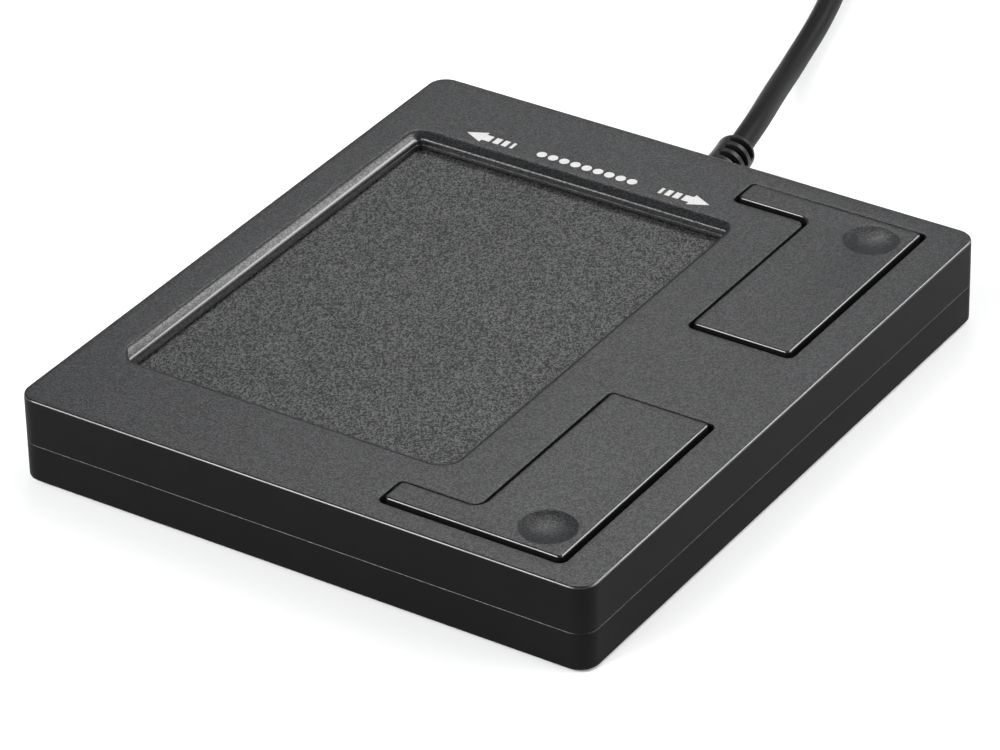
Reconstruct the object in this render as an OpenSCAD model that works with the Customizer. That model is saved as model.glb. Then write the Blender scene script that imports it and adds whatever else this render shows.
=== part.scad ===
// Desk trackpad: a two-part moulded case, a recessed touch sensor,
// two hinged buttons over tactile switches, and a cord with its plug.
// Origin on the desk under the middle of the case, millimetres:
// +X to the user's right, +Y away from the user, +Z up.

/* [Case] */
// Width of the case, left to right
case_w = 86; // [84:0.5:96]
// Depth of the case, near to far
case_d = 75; // [74:0.5:90]
// Height of the case without its feet
case_h = 10.6; // [10.4:0.1:14]
// Height of the seam above the underside of the case
seam_h = 4.7; // [4.5:0.1:5.2]
// Thickness of the side walls
wall = 1.6; // [1.4:0.1:2]
// Thickness of the top plate
top_t = 1.6; // [1.3:0.1:1.8]
// Thickness of the floor
floor_t = 1.6; // [1.3:0.1:1.7]
// Radius of the upright corners
corner_r = 2.4; // [1:0.1:5]
// Height of the tongue that locates the two covers
lip_h = 1; // [0.5:0.1:1.4]
// Thickness of that tongue
lip_t = 0.7; // [0.5:0.05:0.9]
// Clearance round the tongue
lip_gap = 0.1; // [0.05:0.01:0.2]

/* [Feet and case screws] */
// How far the feet stand out of the underside
foot_h = 0.4; // [0.2:0.1:1.5]
// Depth of the pocket that holds a foot
foot_sink = 0.8; // [0.4:0.1:1]
// Radius of a foot
foot_r = 3.5; // [2:0.1:4.5]
// Distance of a foot's middle from the two sides of the case
foot_in = 11; // [10:0.5:12]
// Radius of a case screw's thread
screw_r = 1.1; // [0.8:0.05:1.3]
// Radius of a case screw's head
screw_head_r = 2; // [1.6:0.1:2.3]
// Height of a case screw's head
screw_head_h = 1.4; // [0.8:0.1:1.6]
// Depth of the pocket that hides a screw head
screw_sink = 2; // [1.6:0.1:2.6]
// Radius of the screw bosses in the bottom cover
boss_r = 3; // [2.8:0.1:3.2]
// Radius of the screw bosses under the top plate
top_boss_r = 2.5; // [1.8:0.1:2.8]
// Distance of the far screws from the two sides of the case
far_screw_in = 5; // [4.8:0.1:5.6]
// Distance of the side screws from the sides of the case
side_screw_in = 5.5; // [5:0.1:6]
// Distance of the side screws from the ends of the buttons' arms
side_screw_gap = 3.8; // [3.4:0.1:5]
// Distance of the front screw from the near side of the case
front_screw_in = 9.5; // [8:0.1:11]

/* [Touch pad] */
// Distance of the window from the left side of the case
win_left = 12.3; // [12:0.1:20]
// Distance of the window from the right side of the case
win_right = 13.7; // [13.4:0.1:20]
// Distance of the window from the far side of the case
win_far = 6.2; // [6:0.1:12]
// Distance of the window from the buttons' openings
win_near = 6.6; // [6:0.1:10]
// Radius of the window's corners
win_r = 0.8; // [0.3:0.1:3]
// Run of the bevel on the window's far and right sides
bevel_run = 1.4; // [0.5:0.1:1.8]
// Drop of that bevel
bevel_drop = 0.5; // [0.2:0.1:0.9]
// How far the sensor reaches under the plate, past the bevel
sensor_lap = 2.3; // [1.5:0.1:2.5]
// Thickness of the sensor board
sensor_t = 1.2; // [0.8:0.1:1.4]
// Thickness of the textured overlay
overlay_t = 0.3; // [0.2:0.05:0.5]
// Thickness of the adhesive tape frame
tape_t = 0.15; // [0.1:0.05:0.25]
// Thickness of the foam pads under the sensor board
foam_t = 1; // [0.5:0.1:2]
// Radius of a foam pad
foam_r = 4; // [3.2:0.1:5]
// Radius of the posts that carry the foam pads
post_r = 3; // [2:0.1:3.2]
// Distance of the foam pads from the pad's middle, to each side
foam_dx = 20; // [12:0.5:20]
// Distance of the foam pads from the pad's middle, near and far
foam_dy = 14; // [12:0.5:16]

/* [Buttons] */
// Distance of a button's opening from the side of the case
btn_side = 3.1; // [2.9:0.1:4]
// Distance of a button's opening from the near side of the case
btn_front = 4.9; // [4.5:0.1:6]
// Length of a button's opening, from the side inwards
btn_len = 31.9; // [29:0.1:32.5]
// Depth of a button's opening, without its arm
btn_d = 13.8; // [13.4:0.1:15]
// Width of the arm that runs beside the pad
arm_w = 4.9; // [4.6:0.1:6]
// Length of that arm past the rest of the button
arm_len = 10; // [6:0.1:10.4]
// Radius of the opening's outer corners
btn_r = 1; // [0.6:0.1:2]
// Radius of a button's own outer corners
cap_r = 0.6; // [0.3:0.1:1.5]
// Radius of the opening's inner corner
btn_in_r = 1; // [0.4:0.1:2]
// Clearance between a button and its opening
btn_gap = 0.6; // [0.4:0.02:0.7]
// How far a button stands above the case
btn_rise = 0.38; // [0.34:0.02:1]
// Height of a button with its skirt
cap_h = 3; // [2.6:0.1:3.2]
// Thickness of a button's top
cap_t = 1.4; // [1.1:0.1:1.6]
// Thickness of a button's skirt
skirt_t = 1.1; // [0.8:0.1:1.2]
// Radius of the finger dimple
dimple_r = 3.3; // [2:0.1:3.8]
// Depth of the finger dimple
dimple_deep = 0.45; // [0.2:0.05:0.7]
// Distance of the dimple's middle from the opening's two outer edges
dimple_in = 4.9; // [4.6:0.1:6]

/* [Button hinges] */
// Distance of the hinge from the opening's inner end
hinge_in = 2; // [1.9:0.1:2.6]
// Radius of the hinge trunnions
pin_r = 0.8; // [0.6:0.05:0.9]
// Clearance of a trunnion in its clip
pin_gap = 0.05; // [0.02:0.01:0.1]
// Wall of a clip over the trunnion
clip_t = 0.7; // [0.5:0.1:0.9]
// Width of a clip along the hinge
clip_w = 1.8; // [1.2:0.1:2]
// Distance of a clip's middle from the hinge's middle
clip_dy = 6; // [5.5:0.1:6.2]
// Width of a hinge lug along the hinge
lug_w = 1.6; // [1:0.1:2]
// End play between a lug and its clip
lug_gap = 0.3; // [0.2:0.05:0.5]
// Clearance between a button's skirt and the clips
skirt_gap = 0.35; // [0.3:0.05:0.5]

/* [Main board and switches] */
// Thickness of the main board
board_t = 1.2; // [0.8:0.1:1.6]
// Depth of the main board's face below the top plate
board_drop = 5; // [4.9:0.1:5.6]
// Depth of the main board, near to far
board_d = 19; // [18:0.5:19.5]
// Clearance of the main board from the side walls
board_side = 2.2; // [1:0.1:2.5]
// Clearance of the main board from the near wall
board_front = 0.9; // [0.5:0.1:1.2]
// Distance of the board screws from the board's ends
board_screw_end = 19.2; // [18:0.1:22]
// Distance of the board screws from the board's near and far edges
board_screw_in = 2.4; // [2.3:0.1:2.6]
// Radius of a board screw's thread
board_screw_r = 1; // [0.8:0.05:1.1]
// Side of a square switch
switch_w = 6; // [5:0.1:6.4]
// Height of a switch's moulded body
switch_body_h = 3.3; // [3.1:0.1:3.5]
// Height of a switch to the top of its plunger
switch_h = 4.3; // [4.2:0.1:4.6]
// Radius of a switch's plunger
plunger_r = 1.7; // [1.2:0.1:1.9]
// Rest gap between a button's post and its plunger
press_gap = 0.05; // [0.03:0.01:0.1]
// Width of the flat cable
flat_cable_w = 10; // [6:0.5:11]
// Thickness of the flat cable
flat_cable_t = 0.3; // [0.2:0.05:0.4]

/* [Cord and plug] */
// Diameter of the cord
cord_d = 3; // [2.6:0.1:3.2]
// Distance of the cord's way out from the right side screw
cord_gap = 5.8; // [5.6:0.1:8]
// Radius of the strain relief
relief_r = 2.45; // [2.2:0.05:2.8]
// Length of the strain relief's straight part
relief_straight = 2.6; // [2:0.1:4]
// Radius of the strain relief's bend
relief_bend_r = 36; // [30:1:60]
// Angle of that bend
relief_bend = 14; // [10:1:18]
// Width of the slots that make the strain relief flexible
relief_slot = 0.9; // [0.5:0.1:1]
// Width of the plug's grip
plug_w = 16; // [14:0.5:17]
// Height of the plug's grip
plug_h = 8; // [7:0.1:8]
// Length of the plug's grip
plug_len = 24; // [18:0.5:26]

/* [Hidden] */
$fn = 48;

case_black = [0.16, 0.16, 0.17];
pad_grey = [0.25, 0.25, 0.26];
rubber_black = [0.08, 0.08, 0.08];
board_green = [0.1, 0.35, 0.2];
chip_black = [0.12, 0.12, 0.13];
steel = [0.72, 0.73, 0.75];
gold = [0.85, 0.68, 0.3];
tin = [0.78, 0.78, 0.76];
cream = [0.9, 0.88, 0.8];
ceramic = [0.65, 0.55, 0.42];
foam_grey = [0.35, 0.35, 0.36];

// Overlap that joins the parts of one solid, and overrun of a cut
sink = 0.1;
// Least radius of a rounded corner drawn in from another
least_r = 0.3;
half_w = case_w / 2;
half_d = case_d / 2;
seam_z = foot_h + seam_h;
top_z = foot_h + case_h;
plate_z = top_z - top_t;
floor_z = foot_h + floor_t;
inner_x = half_w - wall;
inner_y = half_d - wall;

// Button outlines, right-hand side
btn_x1 = half_w - btn_side;
btn_x0 = btn_x1 - btn_len;
btn_y0 = btn_front - half_d;
btn_y1 = btn_y0 + btn_d;
arm_x0 = btn_x1 - arm_w;
arm_y1 = btn_y1 + arm_len;
cap_z1 = top_z + btn_rise;
cap_z0 = cap_z1 - cap_h;
cap_roof_z = cap_z1 - cap_t;
dimple_at = [btn_x1 - dimple_in, btn_y0 + dimple_in];
dimple_ball = (pow(dimple_r, 2) + pow(dimple_deep, 2)) / (2 * dimple_deep);
cap_in_r = 0.2;
stop_gap = 0.1;
stop_out = 0.7;
stop_w = 3;
stop_in = 3.2;

// Window and the sensor stack hung under the plate
win_x0 = win_left - half_w;
win_x1 = half_w - win_right;
win_y0 = btn_y1 + win_near;
win_y1 = half_d - win_far;
win_mid = [(win_x0 + win_x1) / 2, (win_y0 + win_y1) / 2];
sensor_x0 = win_x0 - sensor_lap;
sensor_x1 = win_x1 + bevel_run + sensor_lap;
sensor_y0 = win_y0 - sensor_lap;
sensor_y1 = win_y1 + bevel_run + sensor_lap;
overlay_z1 = plate_z - tape_t;
sensor_z1 = overlay_z1 - overlay_t;
sensor_z0 = sensor_z1 - sensor_t;
foam_z0 = sensor_z0 - foam_t;
tape_in = 0.6;
rib_t = 0.8;
rib_gap = 0.2;
rib_h = 1.3;

// Case screws: two far, two at the sides, one between the buttons
side_screw_y = arm_y1 + side_screw_gap;
screw_spots = [
    [half_w - far_screw_in, half_d - far_screw_in],
    [far_screw_in - half_w, half_d - far_screw_in],
    [half_w - side_screw_in, side_screw_y],
    [side_screw_in - half_w, side_screw_y],
    [0, front_screw_in - half_d]];
screw_hole_gap = 0.2;
thread_gap = 0.02;
pilot_roof = 0.6;
pilot_spare = 0.4;
screw_end_z = plate_z - pilot_roof - pilot_spare;
drive_w = 0.5;
drive_share = 0.6;

// Hinge of a button
hinge_x = btn_x0 + hinge_in;
hinge_y = (btn_y0 + btn_y1) / 2;
clip_z1 = cap_z0 - skirt_gap;
hinge_z = clip_z1 - clip_t - pin_r - pin_gap;
clip_below = 0.6;
snap_in = 0.1;
snap_w = 2 * (pin_r - snap_in);
bracket_in = 2.2;
bracket_gap = 0.1;
lug_r = 1.4;
lug_y = clip_dy - clip_w / 2 - lug_gap - lug_w;
pin_past = 0.2;
pin_len = lug_gap + clip_w + pin_past;

// Main board, its screws and parts
board_z1 = plate_z - board_drop;
board_z0 = board_z1 - board_t;
board_x = inner_x - board_side;
board_y0 = board_front - inner_y;
board_y1 = board_y0 + board_d;
board_screw_x = board_x - board_screw_end;
board_boss_r = 2.4;
board_head_r = 1.9;
board_head_h = 1.3;
board_screw_floor = 0.5;
board_screw_y = [board_y0 + board_screw_in, board_y1 - board_screw_in];
boss_clear = 0.4;

// Tactile switch, heights above the main board
plunger_z1 = board_z1 + switch_h;
switch_z1 = board_z1 + switch_body_h;
switch_cover_t = 0.2;
flange_out = 0.4;
flange_r = plunger_r + flange_out;
flange_gap = 0.05;
flange_h = 0.8;
flange_z1 = switch_z1 - flange_gap;
flange_z0 = flange_z1 - flange_h;
dome_h = 0.6;
dome_t = 0.12;
cavity_gap = 0.2;
cavity_r = flange_r + cavity_gap;
cavity_z0 = flange_z0 - flange_gap - dome_h;
dome_r = cavity_r - cavity_gap;
dome_ball = (pow(dome_r, 2) + pow(dome_h, 2)) / (2 * dome_h);
leg_w = 0.7;
leg_t = 0.2;
leg_foot = 1.3;
leg_rise = 1.4;
leg_dx = 2.2;
press_post_r = 2;

// Chips, capacitors and crystal
touch_chip_w = 7;
touch_chip_h = 0.9;
usb_chip_w = 7;
usb_chip_h = 1.5;
chip_leg_w = 0.3;
chip_leg_out = 1;
chip_leg_t = 0.2;
chip_leg_step = 0.8;
chip_legs = 8;
chip_in = 2;
small_cap_l = 1.6;
small_cap_w = 0.8;
small_cap_step = 3.6;
small_caps = 6;
small_cap_y = 8;
big_cap_l = 2;
big_cap_w = 1.25;
big_cap_h = 1.1;
big_cap_step = 3.2;
big_caps = 5;
big_cap_gap = 0.5;
crystal_l = 10.5;
crystal_w = 4;
crystal_h = 3.3;
crystal_y = 1.3;

// Sockets of the flat cable
socket_side = 0.7;
socket_w = flat_cable_w + 2 * socket_side;
socket_d = 4.2;
socket_h = 1.4;
socket_in = 0.6;
socket_grip = 2.8;
socket_gap = 0.05;
sensor_socket_y = sensor_y0 + socket_in;
board_socket_y = board_y1 - socket_in;
sensor_slot_z = sensor_z0 - socket_h / 2;
board_slot_z = board_z1 + socket_h / 2;

// Cable header on the main board and the housing plugged into it
header_end = 9.7;
header_x = board_x - header_end;
header_w = 11;
header_d = 5;
header_h = 3;
header_in = 0.4;
header_wall = 1;
header_z = board_z1 + header_h / 2;
header_y1 = board_y1 - header_in;
housing_gap = 0.1;
housing_out = 1.7;
wire_r = 0.45;
wire_pitch = 2;
wire_pull_out = 10.5;
wire_pull_in = 6.5;
wire_pull_step = 1;
wire_spread = 0.55;
wire_steps = 12;

// Strain relief and the cord inside the case
cord_r = cord_d / 2;
cord_y = side_screw_y + cord_gap;
neck_r = 2.2;
neck_gap = 0.1;
flange_out_r = 2.6;
flange_len = 1;
inner_cord_len = 5;
inner_cord_x = inner_x - neck_gap - flange_len - inner_cord_len;
relief_slots = 3;
relief_band = 0.9;
relief_core = 1.2;
relief_bridge = 0.6;
relief_turn = 38;
relief_mid = [half_w + relief_straight, cord_y + relief_bend_r, seam_z];
relief_dir = [cos(relief_bend), sin(relief_bend), 0];
relief_end = relief_mid + relief_bend_r * [sin(relief_bend), -cos(relief_bend), 0];

// Stored coil on the desk, wound clockwise seen from above
coil_at = [157, 11];
coil_from = 108;
coil_turns = 15.3;
coil_layers = 4;
coil_out = 24.2;
coil_clear = 0.6;
coil_pitch = cord_d + coil_clear;
coil_lift = 0.65;
coil_rings = 24;
coil_sides = 6;
coil_z0 = cord_r + coil_lift;
layer_turns = coil_turns / coil_layers;
turn_back = 0.25;
tie_at = 205;
tie_w = 5;
tie_t = 0.45;
tie_gap = 0.2;
tie_r = 2;

// Plug on the desk beside the coil
plug_at = [156, -24];
plug_neck = 8;
neck_back = 1.3;
neck_front = 0.4;
plug_r = 2;
shell_w = 12;
shell_h = 4.5;
shell_t = 0.3;
shell_out = 14.5;
shell_in = 4;
shell_r = 0.6;
shell_fit = 0.05;
shell_window = [2.5, 2];
shell_window_in = 5.2;
shell_window_y = 2.75;
tongue_h = 1.9;
tongue_len = 11.5;
tongue_in = 0.5;
insulator_w = shell_w - 2 * (shell_t + shell_fit);
insulator_h = shell_h - 2 * (shell_t + shell_fit);
tongue_x = plug_at.x - plug_len - shell_out + tongue_in + tongue_len;
tongue_z = plug_h / 2 - insulator_h / 2 + tongue_h;
contact_w = 1;
contact_t = 0.15;
contact_len = 7.4;
contact_y = [-3.5, -1, 1, 3.5];

// The cord's way from the strain relief to the coil
lead_points = [
    relief_end,
    [58, 2.7, 5], [62, 3.7, 4.7], [66, 4.9, 4.2], [70, 6.2, 3.6], [75, 7.8, 2.8],
    [80, 9.3, 2.1], [85, 10.7, 1.7], [90, 12, 1.5], [95, 13.3, 1.5], [100, 14.8, 1.5],
    [105, 16.5, 1.5], [110, 18.3, 1.5], [115, 20.4, 1.5], [120, 22.5, 1.5], [125, 24.6, 1.5],
    [130, 26.7, 1.5], [135, 28.8, 1.6], [139, 30.4, 1.8], [143, 31.8, 2],
    coil_point(0) - cord_d * coil_way(0)];

// The cord's way from the coil to the plug
tail_points = [
    coil_point(coil_turns) + cord_d * coil_way(coil_turns),
    [181.2, 3, 11.8], [181.2, -2, 9.7], [180.6, -7.5, 7], [178.8, -13, 5],
    [175.4, -18.3, 3.9], [171, -22.2, 3.6], [167.2, -23.9, 3.9],
    [plug_at.x + plug_neck, plug_at.y, plug_h / 2]];

// Turns in from the outside after t turns: in and out again, eased where it reverses
function eased(w) =
    abs(w) < turn_back ? (w * w + turn_back * turn_back) / (2 * turn_back) : abs(w);
function reversal(t) = min(max(round(t / layer_turns), 1), coil_layers - 1);
function turns_in(t) =
    let (k = reversal(t), s = eased(t - k * layer_turns))
    k % 2 == 1 ? layer_turns - s : s;

// Layers climbed after t turns, one in the half turn round each reversal
function smooth(u) = u * u * (3 - 2 * u);
function climb(w) = smooth(min(max((w + turn_back) / (2 * turn_back), 0), 1));
function layers_up(t, k = 1) =
    k == coil_layers ? 0 : climb(t - k * layer_turns) + layers_up(t, k + 1);

// Point on the coil's middle line after t turns, and the level way along it
function coil_angle(t) = coil_from - 360 * t;
function coil_point(t) =
    let (r = coil_out - coil_pitch * turns_in(t))
    [coil_at.x + r * cos(coil_angle(t)), coil_at.y + r * sin(coil_angle(t)),
        coil_z0 + coil_pitch * layers_up(t)];
function coil_way(t) = [sin(coil_angle(t)), -cos(coil_angle(t)), 0];

coil_steps = ceil(coil_turns * coil_rings);
coil_line = [for (i = [0:coil_steps]) coil_point(coil_turns * i / coil_steps)];
coil_points = concat(
    [coil_line[0] - cord_d * coil_way(0)],
    coil_line,
    [coil_line[coil_steps] + cord_d * coil_way(coil_turns)]);

// Least gap of the coil to itself, over points at least half a turn apart
coil_gap = min([for (i = [0:coil_steps], j = [i + coil_rings / 2:1:coil_steps])
    norm(coil_line[i] - coil_line[j])]) - cord_d;
echo(coil_least_gap_mm = coil_gap);

// Length of a line of points
function line_length(p) = norm_sum(p, len(p) - 1);
function norm_sum(p, i) = i == 0 ? 0 : norm(p[i] - p[i - 1]) + norm_sum(p, i - 1);
echo(cord_length_mm = line_length(lead_points) + line_length(coil_points)
    + line_length(tail_points));

// A tube's rings: square to the line, with given ways at its two ends
function unit(v) = v / norm(v);
function way(p, i) = unit(p[i + 1] - p[i - 1]);
function ring(c, t, r, n) =
    let (side = unit(cross([0, 0, 1], t)), up = cross(t, side))
    [for (k = [0:n - 1]) c + r * (cos(360 * k / n) * side + sin(360 * k / n) * up)];

module tube(points, r, sides, first, last) {
    m = len(points) - 1;
    rings = [for (i = [0:m])
        ring(points[i], i == 0 ? first : i == m ? last : way(points, i), r, sides)];
    skin = [for (i = [0:m - 1], k = [0:sides - 1])
        let (a = i * sides + k, b = i * sides + (k + 1) % sides)
        each [[a, b + sides, b], [a, a + sides, b + sides]]];
    start = [for (k = [1:sides - 2]) [0, k, k + 1]];
    end = [for (e = start) [for (k = [0, 2, 1]) m * sides + e[k]]];
    polyhedron([for (q = rings) each q], concat(skin, start, end));
}

// A flat area with round corners, between two corners
module rounded_area(x0, x1, y0, y1, r) {
    translate([x0 + r, y0]) square([x1 - x0 - 2 * r, y1 - y0]);
    translate([x0, y0 + r]) square([x1 - x0, y1 - y0 - 2 * r]);
    for (x = [x0 + r, x1 - r], y = [y0 + r, y1 - r])
        translate([x, y]) circle(r);
}

module prism(z0, z1) {
    translate([0, 0, z0]) linear_extrude(z1 - z0) children();
}

module slab(x0, x1, y0, y1, z0, z1) {
    translate([x0, y0, z0]) cube([x1 - x0, y1 - y0, z1 - z0]);
}

module post(at, r, z0, z1) {
    translate([at.x, at.y, z0]) cylinder(r = r, h = z1 - z0);
}

// A round bar along X or along Y
module bar_x(x0, x1, y, z, r) {
    translate([x0, y, z]) rotate([0, 90, 0]) cylinder(r = r, h = x1 - x0);
}

module bar_y(x, y0, y1, z, r) {
    translate([x, y1, z]) rotate([90, 0, 0]) cylinder(r = r, h = y1 - y0);
}

module both_sides() {
    children();
    mirror([1, 0, 0]) children();
}

module left_side() {
    mirror([1, 0, 0]) children();
}

// The case's outline, drawn in by an inset
module case_area(inset) {
    rounded_area(inset - half_w, half_w - inset, inset - half_d, half_d - inset,
        max(corner_r - inset, least_r));
}

// The right button's outline, drawn in by an inset, with outer corners of radius r
module button_area(inset, r) {
    x1 = btn_x1 - inset;
    y0 = btn_y0 + inset;
    y1 = btn_y1 - inset;
    ax0 = arm_x0 + inset;
    fillet = btn_in_r + inset;
    rounded_area(btn_x0 + inset, x1, y0, y1, r);
    rounded_area(ax0, x1, y0, arm_y1 - inset, r);
    difference() {
        translate([ax0 - fillet, y1 - sink]) square([fillet + sink, fillet + sink]);
        translate([ax0 - fillet, y1 + fillet]) circle(fillet);
    }
}

// Cut of the bevel on the window's far and right sides, round at its ends
module bevel_cut() {
    section = [[-sink, sink], [bevel_run * (1 + sink / bevel_drop), sink],
        [0, -bevel_drop], [-sink, -bevel_drop]];
    far_len = win_x1 - win_x0 - bevel_run;
    side_len = win_y1 - win_y0 - bevel_run;
    translate([win_x0 + bevel_run, win_y1, top_z])
        rotate([90, 0, 90]) linear_extrude(far_len) polygon(section);
    translate([win_x1, win_y1, top_z])
        rotate([90, 0, 0]) linear_extrude(side_len) polygon(section);
    for (c = [[win_x1, win_y1, 0], [win_x0 + bevel_run, win_y1, 90],
        [win_x1, win_y0 + bevel_run, -90]])
        translate([c[0], c[1], top_z]) rotate([0, 0, c[2]])
            rotate_extrude(angle = 90)
                polygon([[0, sink], section[1], [0, -bevel_drop]]);
}

// Hinge clips that hang from the plate beside the front screw
module hinge_clips() {
    clip_z0 = hinge_z - clip_below;
    for (side = [-1, 1]) {
        y0 = hinge_y + side * clip_dy - clip_w / 2;
        y1 = y0 + clip_w;
        slab(btn_x0 - bracket_in, btn_x0 - bracket_gap, y0, y1, clip_z0, plate_z + sink);
        slab(btn_x0 - bracket_in, hinge_x + pin_r + pin_gap + clip_t, y0, y1, clip_z0, clip_z1);
    }
}

module hinge_bores() {
    reach = clip_dy + clip_w;
    bar_y(hinge_x, hinge_y - reach, hinge_y + reach, hinge_z, pin_r + pin_gap);
    slab(hinge_x - snap_w / 2, hinge_x + snap_w / 2, hinge_y - reach, hinge_y + reach,
        hinge_z - clip_below - sink, hinge_z);
}

module cord_hole() {
    bar_x(inner_x - sink, half_w + sink, cord_y, seam_z, neck_r + neck_gap);
}

module top_cover() {
    color(case_black)
    difference() {
        union() {
            difference() {
                prism(seam_z, top_z) case_area(0);
                prism(seam_z - sink, plate_z) case_area(wall);
                prism(seam_z - sink, seam_z + lip_h + lip_gap) case_area(wall - lip_t - lip_gap);
            }
            for (p = screw_spots) post(p, top_boss_r, seam_z, plate_z + sink);
            for (x = [sensor_x0 - rib_gap - rib_t, sensor_x1 + rib_gap])
                slab(x, x + rib_t, sensor_y0, sensor_y1, plate_z - rib_h, plate_z + sink);
            both_sides() difference() {
                hinge_clips();
                hinge_bores();
            }
        }
        prism(plate_z - sink, top_z + sink) rounded_area(win_x0, win_x1, win_y0, win_y1, win_r);
        bevel_cut();
        both_sides() prism(plate_z - sink, top_z + sink) button_area(0, btn_r);
        for (p = screw_spots)
            post(p, screw_r + thread_gap, seam_z - sink, plate_z - pilot_roof);
        cord_hole();
    }
}

module bottom_cover() {
    color(case_black)
    difference() {
        union() {
            difference() {
                prism(foot_h, seam_z) case_area(0);
                prism(floor_z, seam_z + sink) case_area(wall);
            }
            prism(seam_z - sink, seam_z + lip_h) difference() {
                case_area(wall - lip_t);
                case_area(wall);
            }
            for (p = screw_spots) post(p, boss_r, floor_z - sink, seam_z);
            for (x = [-board_screw_x, board_screw_x], y = board_screw_y)
                post([x, y], board_boss_r, floor_z - sink, board_z0);
            for (p = foam_spots()) post(p, post_r, floor_z - sink, foam_z0);
        }
        for (p = screw_spots) {
            post(p, screw_head_r + screw_hole_gap, foot_h - sink, foot_h + screw_sink);
            post(p, screw_r + screw_hole_gap, foot_h, seam_z + sink);
        }
        for (p = foot_spots()) post(p, foot_r + lip_gap, foot_h - sink, foot_h + foot_sink);
        for (x = [-board_screw_x, board_screw_x], y = board_screw_y)
            post([x, y], board_screw_r + thread_gap, foot_h + board_screw_floor, board_z0 + sink);
        cord_hole();
    }
}

function foam_spots() = [for (x = [-foam_dx, foam_dx], y = [-foam_dy, foam_dy]) win_mid + [x, y]];
function foot_spots() = [for (x = [-1, 1], y = [-1, 1])
    [x * (half_w - foot_in), y * (half_d - foot_in)]];

// Cross recess in a screw head that faces down (way -1) or up (way 1)
module cross_recess(at, face_z, way, r) {
    deep = drive_w;
    z0 = way > 0 ? face_z - deep : face_z - sink;
    for (d = [[r, drive_w / 2], [drive_w / 2, r]])
        slab(at.x - d.x, at.x + d.x, at.y - d.y, at.y + d.y, z0, z0 + deep + sink);
}

module case_screws() {
    ledge_z = foot_h + screw_sink;
    color(steel)
    for (p = screw_spots) difference() {
        union() {
            post(p, screw_head_r, ledge_z - screw_head_h, ledge_z);
            post(p, screw_r, ledge_z - sink, screw_end_z);
        }
        cross_recess(p, ledge_z - screw_head_h, -1, screw_head_r * drive_share);
    }
}

module rubber_feet() {
    color(rubber_black)
    for (p = foot_spots()) post(p, foot_r, 0, foot_h + foot_sink);
}

module touch_overlay() {
    color(pad_grey) slab(sensor_x0, sensor_x1, sensor_y0, sensor_y1, sensor_z1, overlay_z1);
}

module sensor_board() {
    color(board_green) slab(sensor_x0, sensor_x1, sensor_y0, sensor_y1, sensor_z0, sensor_z1);
}

module tape_frame() {
    color(cream)
    difference() {
        slab(sensor_x0, sensor_x1, sensor_y0, sensor_y1, overlay_z1, plate_z);
        slab(win_x0 - tape_in, win_x1 + tape_in, win_y0 - tape_in, win_y1 + tape_in,
            overlay_z1 - sink, plate_z + sink);
    }
}

module foam_pads() {
    color(foam_grey)
    for (p = foam_spots()) post(p, foam_r, foam_z0, sensor_z0);
}

// A square chip, its face against the board at z, growing up (way 1) or down (way -1)
module chip(at, w, h, z, way) {
    slab(at.x - w / 2, at.x + w / 2, at.y - w / 2, at.y + w / 2,
        way > 0 ? z : z - h, way > 0 ? z + h : z);
}

module touch_controller() {
    color(chip_black) chip(win_mid, touch_chip_w, touch_chip_h, sensor_z0, -1);
}

module sensor_capacitors() {
    first = win_mid.x - (small_caps - 1) * small_cap_step / 2 - small_cap_l / 2;
    y0 = win_mid.y - small_cap_y;
    color(ceramic)
    for (i = [0:small_caps - 1]) {
        x0 = first + i * small_cap_step;
        slab(x0, x0 + small_cap_l, y0, y0 + small_cap_w, sensor_z0 - small_cap_w, sensor_z0);
    }
}

// A flat cable socket between two heights, open towards -Y (way -1) or +Y (way 1)
module socket(mouth_y, z0, way) {
    back_y = mouth_y - way * socket_d;
    slot_z = z0 + socket_h / 2;
    slot_w = flat_cable_w / 2 + socket_gap;
    slot_h = flat_cable_t / 2 + socket_gap;
    slot_y = mouth_y - way * (socket_grip + socket_gap);
    difference() {
        slab(-socket_w / 2, socket_w / 2, min(mouth_y, back_y), max(mouth_y, back_y),
            z0, z0 + socket_h);
        slab(-slot_w, slot_w, min(mouth_y + way * sink, slot_y), max(mouth_y + way * sink, slot_y),
            slot_z - slot_h, slot_z + slot_h);
    }
}

module sensor_socket() {
    color(cream) socket(sensor_socket_y, sensor_z0 - socket_h, -1);
}

module board_socket() {
    color(cream) socket(board_socket_y, board_z1, 1);
}

// Flat cable: straight in both sockets, and an S between their mouths
module flat_cable() {
    steps = 16;
    s_line = [for (i = [0:steps]) let (u = i / steps)
        [sensor_socket_y + u * (board_socket_y - sensor_socket_y),
            sensor_slot_z + smooth(u) * (board_slot_z - sensor_slot_z)]];
    line = concat([[sensor_socket_y + socket_grip, sensor_slot_z]], s_line,
        [[board_socket_y - socket_grip, board_slot_z]]);
    lift = [0, flat_cable_t / 2];
    count = len(line);
    color("white")
    translate([-flat_cable_w / 2, 0, 0]) rotate([90, 0, 90]) linear_extrude(flat_cable_w)
        polygon(concat([for (p = line) p + lift],
            [for (i = [count - 1:-1:0]) line[i] - lift]));
}

module main_board() {
    color(board_green)
    difference() {
        slab(-board_x, board_x, board_y0, board_y1, board_z0, board_z1);
        post(screw_spots[4], boss_r + boss_clear, board_z0 - sink, board_z1 + sink);
        for (x = [-board_screw_x, board_screw_x], y = board_screw_y)
            post([x, y], board_screw_r + screw_hole_gap, board_z0 - sink, board_z1 + sink);
    }
}

module board_screws() {
    color(steel)
    for (x = [-board_screw_x, board_screw_x], y = board_screw_y) difference() {
        union() {
            post([x, y], board_head_r, board_z1, board_z1 + board_head_h);
            post([x, y], board_screw_r, foot_h + board_screw_floor + screw_hole_gap, board_z1 + sink);
        }
        cross_recess([x, y], board_z1 + board_head_h, 1, board_head_r * drive_share);
    }
}

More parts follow.
